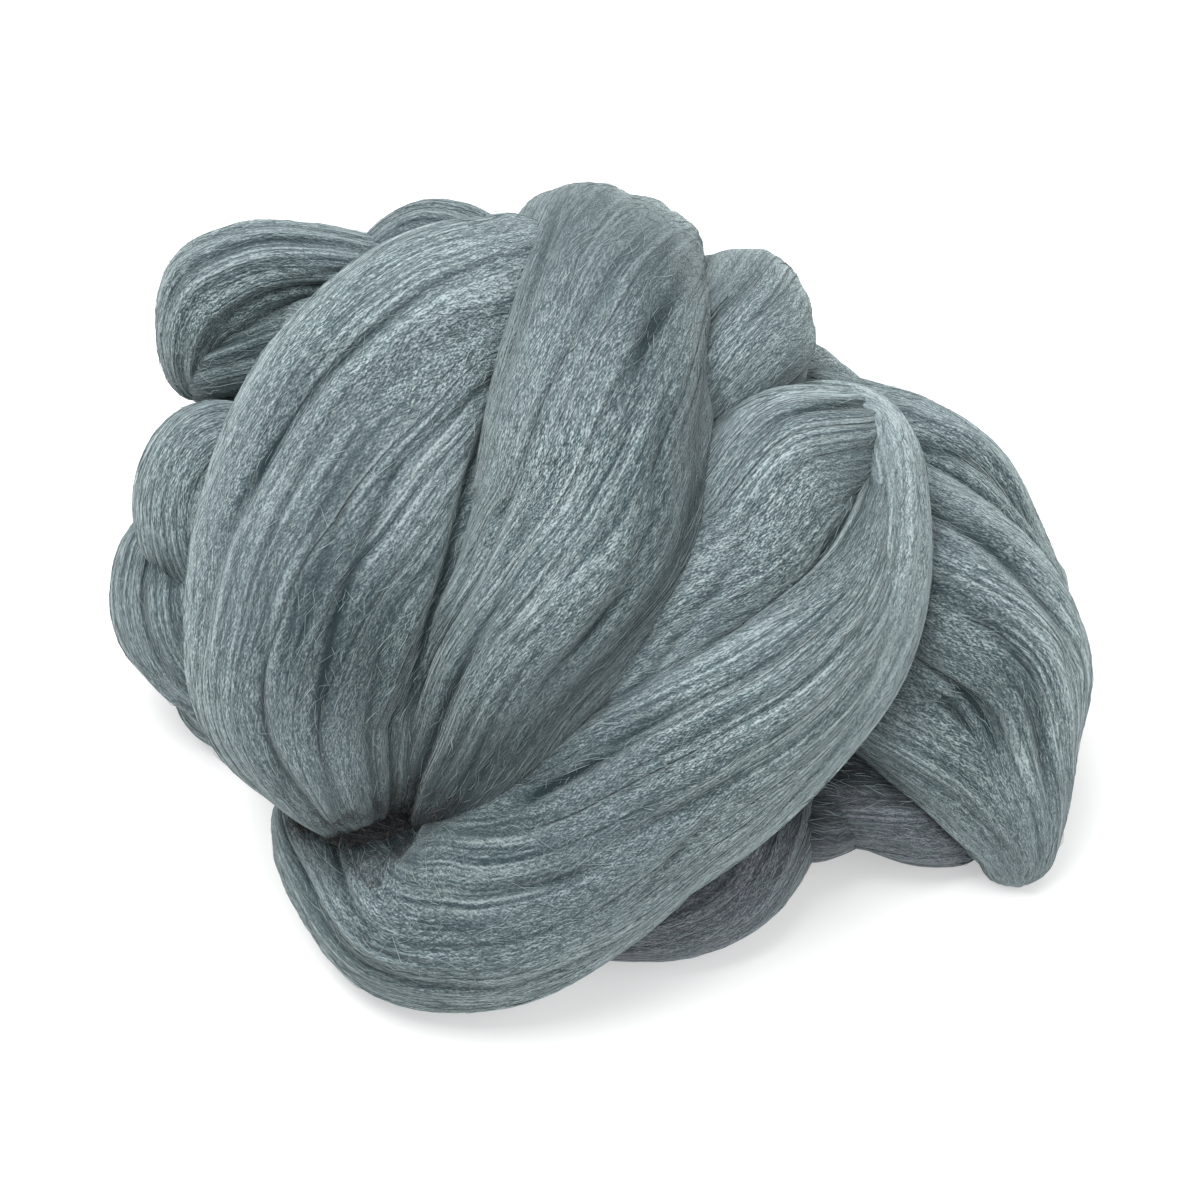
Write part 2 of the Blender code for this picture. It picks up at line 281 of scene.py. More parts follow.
class Fold:
    """One fold of the sliver: a smooth form along a route, its locks, and the lay of its fibres."""

    def __init__(self, name, sections, dents, lay, seed, upright):
        self.name, self.lay = name, lay
        self.troughs = [dent for dent in dents if isinstance(dent, Trough)]
        self.hollows = [dent for dent in dents if isinstance(dent, Hollow)]
        run, along = smooth_run(sections, CENTRE_STEP)
        if upright:
            centres = run[:, :3]
            first_facing = centres[0] - np.array(PACKED_WOOL["lower"][0])
        else:
            centres = on_plane(run[:, 0], run[:, 1], run[:, 2])
            first_facing = (0.0, -math.cos(LEAN), math.sin(LEAN))
        across, facing = carried_frames(centres, first_facing)
        self.length = along[-1]
        self.rows = np.hstack([centres + BOX_SHIFT, across, facing, run[:, 3:5] / 2])
        self.girth = 2 * math.pi * np.mean(run[:, 3:5]) / 2
        chance = np.random.default_rng(seed)
        self.gaps = []
        for _ in range(int(self.length * self.girth / GAP_AREA)):
            depth = chance.random() ** GAP_RARITY
            self.gaps.append((
                chance.uniform(-180.0, 180.0),
                chance.uniform(0.0, 1.0),
                between(GAP_LENGTH, chance.random()) / 2 / self.length,
                between(GAP_BREADTH, depth),
                between(GAP_DEPTH, depth),
                chance.normal(0.0, GAP_SLANT),
            ))
        self.waves = [
            (int(chance.integers(*LOCKS_ROUND)), chance.uniform(0.0, FULL_TURN),
             int(chance.integers(*LOCK_BENDS)), chance.uniform(0.0, FULL_TURN),
             chance.uniform(*LOCK_BEND))
            for _ in range(LOCK_WAVES)
        ]

    def strand(self, angle, share):
        """Which strand, in degrees round the fold, lies at this angle of the section."""
        lay = self.lay
        x = np.clip((share - lay.start) / (lay.end - lay.start), 0.0, 1.0)
        turned = lay.turn_deg * (1 - np.cos(np.radians(angle - lay.still_deg))) / 2
        return angle + (lay.twist_deg + turned) * (x * x * (3 - 2 * x) - 0.5)

    def angle_of(self, strand, share):
        """The angle of the section at which a strand lies: strand() the other way round."""
        angle = strand.copy()
        for _ in range(12):
            angle = 0.4 * angle + 0.6 * (strand - (self.strand(angle, share) - angle))
        return angle

    def relief(self, angle, share, radius):
        """How far the locks stand out, in millimetres, and how much painted shade a place gets from its
        gaps, troughs and hollows, at most 1.
        """
        strand = self.strand(angle, share)
        raised = np.zeros_like(angle)
        painted_shade = np.zeros_like(angle)
        for count, phase, bends, bend_phase, bend in self.waves:
            wave = count * np.radians(strand) + phase
            wave += bend * np.sin(FULL_TURN * bends * share + bend_phase)
            raised += LOCK_SWELL / count * np.sin(wave)
        for trough in self.troughs:
            inside = (share - trough.start) / (trough.end - trough.start)
            centre = trough.from_deg + (trough.to_deg - trough.from_deg) * inside
            off = (angle % 360.0 - centre) / trough.breadth_deg
            within = np.sqrt(np.sin(math.pi * np.clip(inside, 0.0, 1.0)))
            raised -= trough.depth * within * np.exp(-off * off)
            painted_shade += TROUGH_SHADE * trough.depth * within * np.exp(-off * off * 3)
        for hollow in self.hollows:
            off = ((angle - hollow.deg + 180.0) % 360.0 - 180.0) / hollow.wide_deg
            within = np.exp(-off * off - ((share - hollow.share) / hollow.long) ** 2)
            raised -= hollow.depth * within
            painted_shade += hollow.shade * within
        for gap_strand, gap_share, half, breadth, depth, slant in self.gaps:
            inside = (share - gap_share) / half
            off = (strand - gap_strand - slant * inside + 180.0) % 360.0 - 180.0
            off = np.radians(off) * radius / breadth
            within = np.clip(1 - inside * inside, 0.0, 1.0) * np.exp(-off * off)
            raised -= depth * within
            painted_shade += within * between(GAP_SHADE, depth / GAP_DEPTH[1])
        return raised, np.minimum(painted_shade, 1.0)

    def place(self, angle, share, stand_off=0.0):
        """The point of the fold's surface at an angle of its section and a share of its length."""
        share = np.clip(share, 0.0, 1.0)
        at = share * (len(self.rows) - 1)
        low = np.minimum(at.astype(int), len(self.rows) - 2)
        part = (at - low)[..., None]
        row = self.rows[low] * (1 - part) + self.rows[low + 1] * part
        centre, across, facing = row[..., 0:3], row[..., 3:6], row[..., 6:9]
        wide, thick = row[..., 9], row[..., 10]
        to_end = np.minimum(share, 1 - share) * self.length / np.minimum(wide, thick)
        size = np.sqrt(np.clip(1 - (1 - np.minimum(to_end, 1.0)) ** 2, 0.0, 1.0))
        cos, sin = np.cos(np.radians(angle)), np.sin(np.radians(angle))
        out_u, out_v = cos / wide, sin / thick
        out = np.hypot(out_u, out_v)
        raised, painted_shade = self.relief(angle, share, (wide + thick) / 2)
        push = raised * size + stand_off
        power = 2.0 / FULLNESS
        u = np.sign(cos) * np.abs(cos) ** power * wide * size + out_u / out * push
        v = np.sign(sin) * np.abs(sin) ** power * thick * size + out_v / out * push
        point = (centre + across * u[..., None] + facing * v[..., None]) * MM
        point[..., 2] = np.maximum(point[..., 2], 0.0)
        return point, painted_shade


def outer_angle(turn):
    """Spreads the sides of a section: close together on its outside, wide apart underneath."""
    return -90.0 + turn + math.degrees(UNDERSIDE_THRIFT) * np.sin(np.radians(turn))


def shape_fold(fold, sides, rings):
    """A UV sphere drawn out along the fold, with a UV map in metres: across the strands, and along."""
    deselect()
    bpy.ops.mesh.primitive_uv_sphere_add(segments=sides, ring_count=rings, radius=1.0)
    piece = bpy.context.object
    piece.name = "fold_" + fold.name
    mesh = piece.data
    start = np.empty(len(mesh.vertices) * 3)
    mesh.vertices.foreach_get("co", start)
    start = start.reshape(-1, 3)
    ring = np.round(np.arccos(np.clip(start[:, 2], -1, 1)) / math.pi * rings)
    turn = np.degrees(np.arctan2(start[:, 1], start[:, 0])) % 360.0
    ring_turns[piece.name] = (turn, ring / rings)
    points, painted_shade = fold.place(outer_angle(turn), ring / rings)
    mesh.vertices.foreach_set("co", points.ravel())
    mesh.attributes.new("painted_shade", "FLOAT", "POINT").data.foreach_set("value", painted_shade.astype(np.float32))

    corner = np.empty(len(mesh.loops), int)
    mesh.loops.foreach_get("vertex_index", corner)
    first = np.empty(len(mesh.polygons), int)
    mesh.polygons.foreach_get("loop_start", first)
    sizes = np.diff(np.append(first, len(corner)))
    turns = turn[corner]
    at_pole = (ring[corner] == 0) | (ring[corner] == rings)
    most = np.repeat(np.maximum.reduceat(np.where(at_pole, 0.0, turns), first), sizes)
    turns = np.where((most - turns > 180.0) & ~at_pole, turns + 360.0, turns)
    mean = np.repeat(np.add.reduceat(np.where(at_pole, 0.0, turns), first)
                     / np.add.reduceat((~at_pole).astype(float), first), sizes)
    turns = np.where(at_pole, mean, turns)
    shares = ring[corner] / rings
    around = np.radians(fold.strand(outer_angle(turns), shares)) * fold.girth / (2 * math.pi)
    uv = np.stack([around, shares * fold.length], axis=1) * MM
    mesh.uv_layers[0].data.foreach_set("uv", uv.ravel())
    mesh.update()
    mesh.shade_smooth()
    return piece


def combed_wool_material(name, deep, middle, pale, tint, gap, sheen=0.6):
    """Combed merino top: dyed grey teal, and matt. Fibres of 0.02 mm are too fine to show here, so the
    finest streaks are drawn 0.3 mm apart, as clumps of several fibres. Gaps between locks are darkened
    towards the gap colour, which is painted shade."""
    material = clear_material(name)
    uv = node(material, "ShaderNodeUVMap", uv_map="UVMap")
    place = node(material, "ShaderNodeTexCoord")

    def swayed(along, spacing_mm, reach_mm):
        """The map with its strands pushed from side to side, by reach_mm at most or so."""
        sway = node(material, "ShaderNodeTexNoise", [(along, "Vector")],
                    noise_dimensions="2D", Scale=1 / (spacing_mm * MM), Detail=1.0)
        centred = node(material, "ShaderNodeVectorMath",
                       [(sway.outputs["Color"], 0), ((0.5, 0.5, 0.5), 1)], operation="SUBTRACT")
        return node(material, "ShaderNodeVectorMath",
                    [(centred, 0), ((reach_mm * MM, 0.0, 0.0), 1), (along, 2)],
                    operation="MULTIPLY_ADD")

    def streaks(lay, across_mm, along_mm, detail, stray_deg=0.0):
        """Streaks along the lay, or at an angle to it: these are two mappings, to turn and to stretch."""
        turned = node(material, "ShaderNodeMapping", [(lay, "Vector")],
                      Rotation=(0.0, 0.0, math.radians(stray_deg)))
        stretched = node(material, "ShaderNodeMapping", [(turned, "Vector")],
                         Scale=(1 / (across_mm * MM), 1 / (along_mm * MM), 1.0))
        return node(material, "ShaderNodeTexNoise", [(stretched, "Vector")],
                    noise_dimensions="2D", Scale=1.0, Detail=detail)

    def partings(across_mm, along_mm, detail, breadth, patch_mm, low, high):
        """Thin lines where locks of fibres part, in some patches only: 1 on a line, and 0 off it."""
        seam = streaks(lay, across_mm, along_mm, detail)
        off_seam = node(material, "ShaderNodeMath", [(seam, 0), (0.5, 1)], operation="SUBTRACT")
        apart = node(material, "ShaderNodeMath", [(off_seam, 0)], operation="ABSOLUTE")
        patches = streaks(lay, *patch_mm, 0.0)
        line = node(material, "ShaderNodeMapRange", [(apart, "Value")],
                    From_Min=0.0, From_Max=breadth, To_Min=1.0, To_Max=0.0)
        patch = node(material, "ShaderNodeMapRange", [(patches, "Value")],
                     From_Min=low, From_Max=high, To_Min=0.0, To_Max=1.0)
        return node(material, "ShaderNodeMath", [(line, 0), (patch, 1)], operation="MULTIPLY")

    lay = swayed(uv, spacing_mm=22.0, reach_mm=1.6)
    crimped = swayed(lay, spacing_mm=1.6, reach_mm=0.22)
    fibres = streaks(crimped, 0.30, 2.4, 1.0, stray_deg=13.0)
    crossing = streaks(crimped, 0.34, 2.0, 1.0, stray_deg=-16.0)
    strands = streaks(lay, 0.75, 45.0, 1.0)
    locks = streaks(lay, 2.8, 90.0, 1.0)
    frizz = streaks(crimped, 0.27, 0.55, 1.0)
    woolly = node(material, "ShaderNodeMix", [(fibres, 2), (crossing, 3)], data_type="FLOAT", Factor=0.5)
    fine = node(material, "ShaderNodeMix", [(woolly, 2), (frizz, 3)], data_type="FLOAT", Factor=0.39)
    coarse = node(material, "ShaderNodeMix", [(strands, 2), (locks, 3)], data_type="FLOAT", Factor=0.30)
    # In some places the wool lies combed, and its strands show more than its frizz.
    combed = streaks(lay, 16.0, 50.0, 0.0)
    combed_share = node(material, "ShaderNodeMapRange", [(combed, "Value")],
                        From_Min=0.38, From_Max=0.62, To_Min=0.17, To_Max=0.44)
    whole = node(material, "ShaderNodeMix", [(combed_share, "Factor"), (fine, 2), (coarse, 3)],
                 data_type="FLOAT")

    # In patches there are fine partings, 2.6 mm apart or so, and long, thin clefts, 6.5 mm apart.
    parting = partings(2.6, 60.0, 1.0, breadth=0.085, patch_mm=(9.0, 40.0), low=0.40, high=0.60)
    cleft = partings(6.5, 150.0, 0.0, breadth=0.034, patch_mm=(13.0, 70.0), low=0.40, high=0.54)
    tone = node(material, "ShaderNodeValToRGB", [(whole, "Fac")])
    tone.color_ramp.elements[0].position = 0.405
    tone.color_ramp.elements[0].color = linear(deep)
    tone.color_ramp.elements[1].position = 0.605
    tone.color_ramp.elements[1].color = linear(pale)
    tone.color_ramp.elements.new(0.50).color = linear(middle)
    cast = node(material, "ShaderNodeTexNoise", [(place.outputs["Object"], "Vector")],
                Scale=1 / (38.0 * MM), Detail=1.0)
    cast_share = node(material, "ShaderNodeMapRange", [(cast, "Value")],
                      From_Min=0.40, From_Max=0.65, To_Min=0.0, To_Max=0.28)
    colour = node(material, "ShaderNodeMix", [(cast_share, "Factor"), (tone, 6), (linear(tint), 7)],
                  data_type="RGBA")

    # Painted shade: the clefts, partings, gaps, troughs and hollows, and the places that other folds shut
    # in, are mixed towards the gap colour, and a hollow's shade below 0 is painted light. The clefts and
    # partings are lower too.
    painted_shade = node(material, "ShaderNodeAttribute", attribute_name="painted_shade")
    shut = node(material, "ShaderNodeAttribute", attribute_name="shut_in")
    darkened = node(material, "ShaderNodeMath", [(painted_shade.outputs["Fac"], 0), (shut.outputs["Fac"], 1)],
                    operation="ADD")
    creased = node(material, "ShaderNodeMath", [(cleft, 0), (0.45, 1), (darkened, 2)],
                   operation="MULTIPLY_ADD")
    partly = node(material, "ShaderNodeMath", [(parting, 0), (0.30, 1), (creased, 2)],
                  operation="MULTIPLY_ADD", use_clamp=True)
    shaded = node(material, "ShaderNodeMix", [(partly, "Factor"), (colour.outputs[2], 6), (linear(gap), 7)],
                  data_type="RGBA")
    level = node(material, "ShaderNodeMath", [(cleft, 0), (-0.8, 1), (whole, 2)],
                 operation="MULTIPLY_ADD")
    height = node(material, "ShaderNodeMath", [(parting, 0), (-0.5, 1), (level, 2)],
                  operation="MULTIPLY_ADD")
    return finish_wool(material, shaded.outputs[2], height, bump_strength=0.85, sheen=sheen)


grey_teal = combed_wool_material(
    "combed_merino_grey_teal", "#2e3e42", "#627174", "#a8b5b6", "#646f77", "#15252a"
)


def add_fold(name, sections, dents, lay, material, seed, sides, rings, upright=False):
    """Models one fold of the sliver, and keeps its form for the loose fibres that lie on it."""
    fold = Fold(name, sections, dents, lay, seed, upright)
    piece = shape_fold(fold, sides, rings)
    piece.data.materials.append(material)
    belongs(piece)
    folds[name] = (fold, piece)


add_fold("left_front", [
    (-8, 76, 12, 28, 22), (-20, 69, 22, 38, 28), (-35, 60, 29, 48, 34), (-48, 41, 34, 60, 40),
    (-57, 14, 35, 65, 46), (-61, -4, 34, 62, 46), (-62, -21, 30, 56, 42), (-57.6, -35.6, 23, 39, 34),
    (-54, -46, 13, 25, 22), (-52, -55, 0, 14, 14),
], [
    Trough(78, 22, 0.15, 0.70, 2.1, 5.5), Trough(106, 78, 0.16, 0.38, 1.2, 4.5),
    Trough(137, 131, 0.20, 0.76, 2.6, 5), Trough(99, 82, 0.40, 0.84, 2.0, 4),
    Trough(84, 70, 0.36, 0.74, 1.0, 3.5), Trough(64, 62, 0.52, 0.92, 1.6, 4.5),
    Hollow(95, 0.92, 45, 0.06, 3.0, 0.50), Hollow(120, 0.83, 26, 0.10, 0.0, 0.30),
    Trough(112, 101, 0.62, 0.92, 1.5, 5), Trough(127, 116, 0.60, 0.92, 1.5, 5),
    Hollow(112, 0.74, 30, 0.10, 0.0, 0.04), Hollow(110, 0.64, 40, 0.15, 0.0, 0.50),
    Hollow(86, 0.61, 30, 0.09, 0.0, 0.08), Hollow(92, 0.765, 34, 0.05, 0.0, -0.16),
    Hollow(68, 0.22, 40, 0.08, 0.0, -0.12), Hollow(84, 0.44, 12, 0.10, 0.0, 0.14),
    Hollow(121, 0.40, 14, 0.12, 0.0, -0.36),
], Lay(45, 60, 0, 0.0, 1.0), grey_teal, seed=11, sides=208, rings=80)


# ----------------------------------------
# The crown. The broadest fold comes up out of the pinch, goes over the top of the bundle and down its
# back. A small tuck of the same sliver fills the corner on its left, where it goes over the top.

add_fold("crown", [
    (-41, -56, -4, 14, 12), (-39, -50, 9, 20, 17), (-35, -42, 20, 28, 23), (-27, -29, 29, 38, 30),
    (-19, -14, 35, 45, 38), (-10, 0, 38, 49, 44), (-3, 15, 39, 53, 46), (-0.5, 38, 38, 51, 46),
    (1, 60, 28, 47, 42), (1.5, 75, 9, 46, 36), (1, 79, -16, 47, 34), (-2, 68, -42, 52, 34),
    (-12, 49, -62, 48, 32), (-24, 30, -74, 36, 26),
], [
    Trough(117, 127, 0.08, 0.34, 1.9, 5.5), Trough(110, 66, 0.22, 0.56, 0.9, 4.5),
    Trough(82, 66, 0.12, 0.46, 1.1, 5.5), Trough(150, 140, 0.12, 0.40, 1.6, 5),
    Trough(74, 20, 0.15, 0.52, 1.9, 16), Trough(84, 96, 0.60, 0.98, 2.4, 9),
    Hollow(115, 0.07, 60, 0.06, 2.0, 0.45), Hollow(107, 0.15, 60, 0.07, 0.0, 0.70),
    Hollow(98, 0.30, 24, 0.10, 0.0, -0.18), Hollow(62, 0.29, 26, 0.11, 0.0, 0.32),
    Hollow(95, 0.57, 90, 0.09, 0.0, 0.60), Hollow(50, 0.47, 32, 0.13, 0.0, 0.22),
], Lay(85, 60, 180, 0.2, 0.72), grey_teal, seed=12, sides=184, rings=104)
add_fold("crown_tuck", [
    (-34, 64, -22, 16, 16), (-26, 73, -18, 18, 16), (-15, 75, -14, 20, 16), (-2, 72, -12, 18, 16),
], [], Lay(20), grey_teal, seed=13, sides=96, rings=30)


# ----------------------------------------
# The shoulder. A short fold to the right of the crown comes over from the back and dives between the
# crown and the front loop, so that only its rounded turn shows.

add_fold("shoulder", [
    (35, 47, -42, 26, 24), (29, 63, -20, 36, 28), (31, 66, -3, 34, 30), (32, 57, 14, 32, 32),
    (27, 46, 24, 26, 28), (20, 34, 26, 18, 20),
], [
    Trough(96, 84, 0.30, 0.95, 2.0, 10), Hollow(-55, 0.62, 60, 0.20, 0.0, 0.26),
], Lay(130, 30, 180), grey_teal, seed=14, sides=130, rings=44)


# ----------------------------------------
# The front loop. The sliver turns over at the upper right, where its edge rolls into a pale, narrow
# rim, falls across the front to the lower left, and goes round and under the pinch. Its inner half
# lies a little lower than the rim and runs out under the crown. The edge is thinner, and its paler
# colour is a painted highlight.

add_fold("front_loop_inner", [
    (60, 36, -4, 14, 12), (58, 36, 9, 22, 20), (53, 34, 21, 29, 27), (41, 27, 30, 41, 32),
    (32, 9, 34, 37, 34), (18, -7, 36, 27, 30), (5, -22, 33, 20, 24), (-8, -36, 27, 14, 18),
], [
    Trough(40, 52, 0.40, 0.90, 1.4, 7), Hollow(80, 0.24, 40, 0.09, 0.2, 0.34),
    Hollow(82, 0.46, 26, 0.10, 0.0, -0.42),
], Lay(130, 50, 180, 0.05, 1.2), grey_teal, seed=15, sides=150, rings=52)
add_fold("front_loop_rim", [
    (60, 41, -6, 12, 14), (62, 35, 9, 12, 18), (62, 26, 19, 14, 24), (60, 14, 26, 19, 32),
    (53, 0, 30, 29, 38), (40, -15, 33, 39, 44), (29, -25, 33, 43, 46), (13, -39, 31, 46, 46),
    (-7, -57, 25, 49, 44), (-26, -68, 20, 48, 42), (-42, -70, 16, 42, 38), (-53, -62, 10, 36, 34),
    (-60.5, -53, 2, 30, 30), (-62, -43, -10, 24, 24),
], [
    Trough(96, 74, 0.13, 0.43, 2.3, 5), Trough(130, 66, 0.30, 0.60, 2.0, 5),
    Trough(138, 103, 0.35, 0.52, 1.4, 4), Trough(101, 71, 0.48, 0.63, 1.6, 4),
    Trough(162, 126, 0.42, 0.57, 1.4, 5), Trough(133, 99, 0.58, 0.73, 1.6, 5),
    Trough(184, 154, 0.65, 0.77, 0.7, 5), Trough(122, 92, 0.80, 0.90, 1.8, 5),
    Hollow(94, 0.14, 24, 0.05, 1.0, 0.50), Hollow(88, 0.875, 36, 0.03, 3.0, 0.55),
    Hollow(60, 0.84, 22, 0.045, 2.5, 0.45), Hollow(78, 0.74, 60, 0.12, 0.0, 0.30),
    Hollow(110, 0.60, 50, 0.12, 0.0, 0.30), Hollow(110, 0.39, 30, 0.06, 0.0, -0.12),
], Lay(140, 70, 180), grey_teal, seed=16, sides=184, rings=104)

# A paler copy of the wool for the rolled edge: a painted highlight.
edge_highlight_wool = combed_wool_material(
    "combed_merino_painted_highlight", "#526266", "#7f8e90", "#aebaba", "#7c868c", "#2d3d41"
)

add_fold("front_loop_edge", [
    (38, 41, 11, 8, 9), (47, 43.5, 16, 11, 11), (55, 42, 20, 14, 13), (60.5, 38, 23, 16, 15),
    (62.8, 32, 24.5, 18, 18), (64.5, 23, 26, 17, 19), (65, 12, 29, 16, 21), (63.5, -2, 31, 14, 22),
    (59, -15, 32, 13, 22), (51.5, -27, 31, 12, 21), (42.6, -37.6, 29, 12, 20),
    (30.8, -49.6, 28, 11.5, 18), (16, -60.8, 26, 10.5, 16), (0, -71, 24, 8, 12), (-14, -78, 19, 5, 7),
], [
    Hollow(130, 0.56, 80, 0.09, 0.0, 0.60),
], Lay(30), edge_highlight_wool, seed=33, sides=64, rings=110)


# ----------------------------------------
# The pinch. Where the left fold and the crown are drawn in under the front loop, a matted wisp of the
# same wool is caught between them, and its dark, a little brown colour is painted shade.

# A dark, a little brown copy of the wool for the pinch: painted shade.
pinch_shade_wool = combed_wool_material(
    "merino_pinch_painted_shade", "#111516", "#2b3034", "#565d60", "#332c30", "#0b0f10"
)

add_fold("pinch", [
    (-70, -50, 9, 7, 8), (-62, -51, 13, 11, 12), (-54, -52, 15, 12, 13), (-46, -50, 15, 11, 12),
    (-38, -47, 15, 8, 8),
], [], Lay(60), pinch_shade_wool, seed=35, sides=64, rings=32)


# ----------------------------------------
# The right wing. Three locks of one fold fan out from behind the front loop and are drawn together
# again at a blunt tip that rests on the surface at the lower right.

add_fold("right_top", [
    (40, 44, -12, 26, 22), (56, 39, -6, 26, 26), (69, 34, -4, 28, 28), (80, 27, -4, 29, 30),
    (89, 13, -6, 28, 30), (96, -1, -10, 26, 28), (95, -17, -16, 20, 22),
], [
    Trough(86, 172, 0.28, 0.78, 2.4, 11), Hollow(70, 0.50, 70, 0.30, 0.0, 0.30),
], Lay(-75, 0, 180), grey_teal, seed=17, sides=140, rings=50)
add_fold("right_middle", [
    (46, 27, 2, 34, 26), (63, 15, 6, 40, 32), (80, 0, 6, 46, 38), (90, -15, 4, 44.5, 38),
    (92.8, -34, 1, 34.5, 34), (95, -47, -4, 27, 28), (96, -57, -9, 20, 22), (95, -66, -13, 16, 16),
], [
    Trough(118, 140, 0.16, 0.56, 2.6, 9), Trough(84, 120, 0.28, 0.82, 2.2, 9),
    Trough(42, 76, 0.36, 0.665, 2.0, 5), Hollow(136, 0.33, 14, 0.10, 0.0, 0.25),
    Hollow(60, 0.35, 50, 0.25, 0.0, 0.12), Hollow(66, 0.61, 30, 0.12, 0.0, 0.50),
    Hollow(100, 0.80, 60, 0.14, 0.0, -0.50),
], Lay(-120, 0, 180), grey_teal, seed=18, sides=170, rings=60)
add_fold("right_low", [
    (44, 0, 0, 34, 26), (59, -12, 4, 36, 30), (73, -24, 5, 36, 32), (84, -36, 3, 32, 30),
    (91, -49, -2, 24, 24), (95, -59, -7, 14, 16), (96, -64, -11, 10, 10),
], [
    Trough(96, 118, 0.34, 0.80, 1.8, 6), Hollow(150, 0.45, 50, 0.30, 0.5, 0.30),
    Hollow(70, 0.60, 34, 0.10, 0.0, 0.22),
], Lay(-75, 0, 180), grey_teal, seed=19, sides=140, rings=44)


# ----------------------------------------
# The folds underneath at the front and right. They are the same wool, in the shade of the front loop
# and the wing, where it reads greyer and a little purple: their darker material is painted shade.

# A darker, greyer copy of the wool for the folds in that shade: painted shade.
grey_under = combed_wool_material(
    "combed_merino_grey", "#30373c", "#555c62", "#848c91", "#5c5660", "#1b2124", sheen=0.35
)

add_fold("under_right", [
    (18, -34, 2, 24, 24), (34, -38, 1, 28, 26), (48, -42, 0, 25, 25), (62, -47, -2, 21, 24),
    (76, -52, -7, 20, 20), (90, -56, -13, 12, 12),
], [
    Hollow(75, 0.70, 24, 0.20, 0.0, -0.40), Hollow(90, 0.42, 60, 0.08, 0.0, 0.60),
    Hollow(118, 0.50, 20, 0.35, 0.0, 0.45),
], Lay(-120), grey_under, seed=20, sides=96, rings=40)
add_fold("under_front", [
    (42, -34, 0, 22, 20), (40, -44, 3, 26, 24), (36, -54, 6, 27, 25), (29, -63, 7, 28, 26),
    (17, -69, 10, 26, 24), (4, -71, 12, 22, 22), (-10, -71, 10, 16, 16),
], [
    Hollow(112, 0.43, 40, 0.10, 0.0, -0.70), Hollow(130, 0.62, 40, 0.10, 0.0, -0.85),
    Hollow(155, 0.22, 40, 0.09, 0.0, 0.70),
], Lay(-60), grey_under, seed=21, sides=110, rings=40)
add_fold("under_tuck", [
    (38, -44, -6, 16, 14), (48, -50, 5, 20, 18), (57, -51, -3, 13, 14), (66, -51, -12, 8, 10),
], [
    Hollow(90, 0.45, 90, 0.30, 0.0, 0.55),
], Lay(-60), grey_under, seed=22, sides=72, rings=24)


# ----------------------------------------
# The loops behind, at the upper left. One fat turn of the sliver stands out to the left, and a small
# arch of it stands up between that turn and the crown.

add_fold("back_left_loop", [
    (-34, 76, -36, 16, 18), (-52, 78, -30, 16, 22), (-68, 79, -26, 20, 27), (-82, 77, -24, 25, 31),
    (-90, 72, -26, 28, 32), (-95, 62, -29, 20, 28), (-95, 54, -32, 13, 20), (-92, 49, -34, 7, 12),
], [
    Trough(66, 60, 0.20, 0.80, 1.0, 9), Trough(120, 124, 0.30, 0.85, 1.5, 9),
    Hollow(60, 0.60, 90, 0.40, 0.0, 0.10),
], Lay(20), grey_teal, seed=23, sides=130, rings=54)
add_fold("back_left_tuck", [
    (-44, 69, -34, 20, 22), (-60, 65, -29, 24, 27), (-74, 59, -27, 25, 29), (-86, 55, -28, 20, 27),
    (-94, 53, -31, 14, 19), (-98, 53, -33, 8, 11),
], [
    Trough(80, 86, 0.10, 0.80, 1.2, 9), Hollow(85, 0.68, 60, 0.25, 0.0, 0.40),
    Hollow(150, 0.60, 60, 0.45, 0.0, 0.20),
], Lay(20), grey_teal, seed=34, sides=110, rings=40)
add_fold("back_arch", [
    (-53, 50, -22, 16, 16), (-55, 67, -27, 17, 17), (-50, 79.5, -30, 18, 18), (-40, 85, -29, 20, 18),
    (-30, 82, -27, 20, 18), (-23, 69, -24, 18, 18), (-20, 53, -20, 16, 16),
], [
    Hollow(140, 0.50, 90, 0.40, 0.0, 0.30),
], Lay(20), grey_teal, seed=24, sides=96, rings=48)


# ----------------------------------------
# The stack at the left. Three short turns of the sliver come out one under another from behind the
# big left fold, each a rounded bulge, down to the surface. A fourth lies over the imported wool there.

add_fold("left_upper", [
    (-78, 35, -22, 26, 26), (-92, 32, -16, 28, 30), (-96, 22, -15, 27, 30), (-93, 11, -18, 26, 28),
    (-80, 5, -24, 24, 24),
], [
    Hollow(45, 0.66, 70, 0.06, 0.0, 0.55),
], Lay(30), grey_teal, seed=25, sides=130, rings=40)
add_fold("left_middle", [
    (-80, 8, -28, 24, 24), (-100, 9, -22, 27, 28), (-101.5, -2, -20, 26, 30), (-96, -12, -24, 25, 28),
    (-82, -22, -28, 22, 22),
], [
    Hollow(65, 0.41, 50, 0.05, 1.0, 0.50), Hollow(20, 0.74, 50, 0.12, 0.0, -0.15),
], Lay(30), grey_teal, seed=26, sides=130, rings=40)
add_fold("left_low", [
    (-78, -12, -36, 22, 24), (-90, -15, -33, 22, 26), (-89, -22, -31, 23, 26),
    (-81.5, -26.5, -28, 20, 23), (-67, -32.5, -16, 16.5, 18),
], [], Lay(20), grey_teal, seed=27, sides=110, rings=36)
add_fold("left_inner", [
    (-50, 48, 84, 30, 20), (-69, 35, 71, 42, 25), (-78, 17, 55, 46, 25), (-76, 1, 40, 44, 25),
    (-76, -14, 27, 36, 24), (-64, -26, 14, 28, 22),
], [
    Trough(72, 80, 0.12, 0.90, 2.4, 9), Trough(110, 104, 0.15, 0.88, 2.2, 9),
], Lay(30), grey_teal, seed=35, sides=110, rings=48, upright=True)


# ----------------------------------------
# The back. Two broad folds fall from the top to the left and right of the crown, a loop comes round
# from the wing, and one long fold is laid round the foot of them all, over a thinner one.

